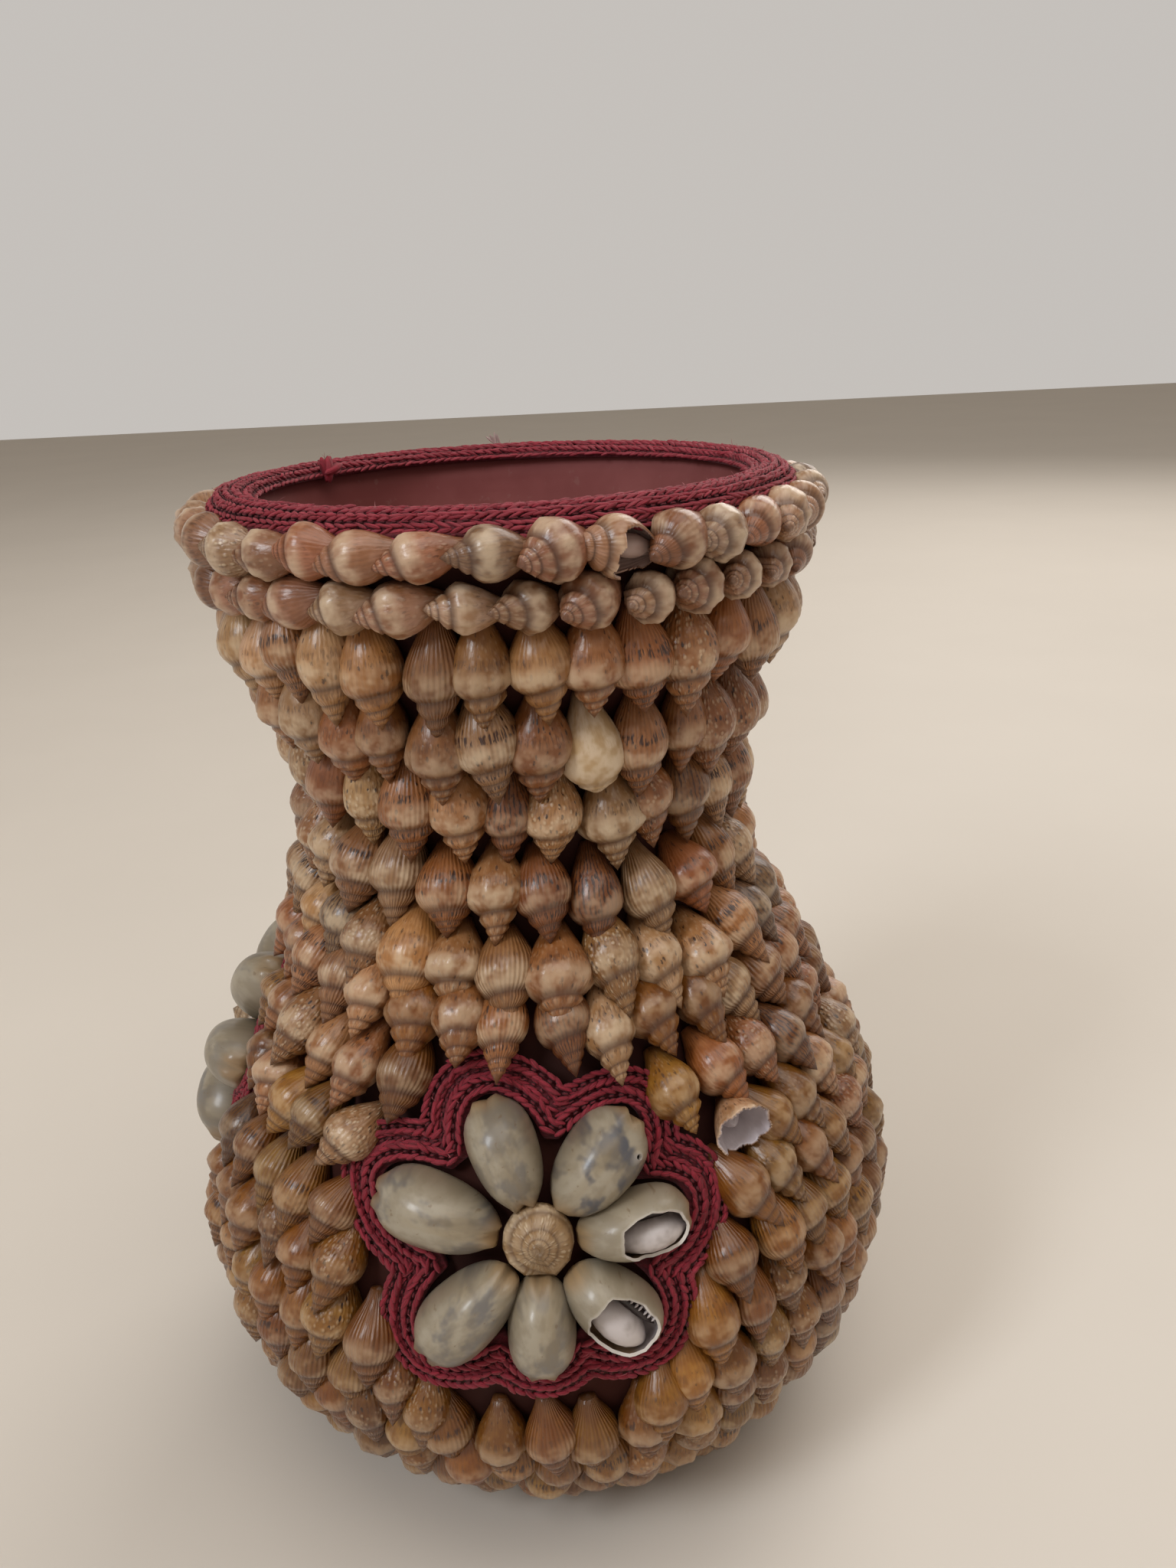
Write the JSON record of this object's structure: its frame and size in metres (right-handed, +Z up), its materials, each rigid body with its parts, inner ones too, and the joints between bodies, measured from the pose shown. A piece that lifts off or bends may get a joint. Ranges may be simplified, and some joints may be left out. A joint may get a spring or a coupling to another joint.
{
  "type": "shell vase",
  "caption": "Flaring earthenware vase covered with rows of small spired sea shells, with cowrie flowers in looped braid on the belly and a braid round the lip; holds dried flowers.",
  "frame": {"origin": "under the middle of the foot, on the surface that the vase stands on", "axes": "+Z up along the vase's axis, -Y the way the front shell flower faces"},
  "size_m": [0.1418, 0.1423, 0.191],
  "materials": {
    "clay": "satin",
    "braid": "matte",
    "shell": "gloss",
    "cowrie": "polished"
  },
  "bodies": {
    "root": {"front_boss_shell": "shell", "front_braid": "braid", "front_cowrie_1": "cowrie", "front_cowrie_2": "cowrie", "front_cowrie_3": "cowrie", "front_cowrie_4": "cowrie", "front_cowrie_5": "cowrie", "front_cowrie_6": "cowrie", "front_cowrie_7": "cowrie", "left_boss_shell": "shell", "left_braid": "braid", "left_cowrie_1": "cowrie", "left_cowrie_2": "cowrie", "left_cowrie_3": "cowrie", "left_cowrie_4": "cowrie", "left_cowrie_5": "cowrie", "left_cowrie_6": "cowrie", "left_cowrie_7": "cowrie", "pot": "clay", "right_boss_shell": "shell", "right_braid": "braid", "right_cowrie_1": "cowrie", "right_cowrie_2": "cowrie", "right_cowrie_3": "cowrie", "right_cowrie_4": "cowrie", "right_cowrie_5": "cowrie", "right_cowrie_6": "cowrie", "right_cowrie_7": "cowrie", "rim_braid": "braid", "shell_row_01": "shell", "shell_row_02": "shell", "shell_row_03": "shell", "shell_row_04": "shell", "shell_row_05": "shell", "shell_row_06": "shell", "shell_row_07": "shell", "shell_row_08": "shell", "shell_row_09_back": "shell", "shell_row_09_left": "shell", "shell_row_09_right": "shell", "shell_row_10_back": "shell", "shell_row_10_left": "shell", "shell_row_10_right": "shell", "shell_row_11_back": "shell", "shell_row_11_left": "shell", "shell_row_11_right": "shell", "shell_row_12_back": "shell", "shell_row_12_left": "shell", "shell_row_12_right": "shell", "shell_row_13_back": "shell", "shell_row_13_left": "shell", "shell_row_13_right": "shell", "shell_row_14_back": "shell", "shell_row_14_left": "shell", "shell_row_14_right": "shell", "shell_row_15": "shell", "shell_row_16": "shell", "shell_row_17": "shell", "shell_row_18": "shell", "shell_row_19": "shell"}
  },
  "joints": []
}
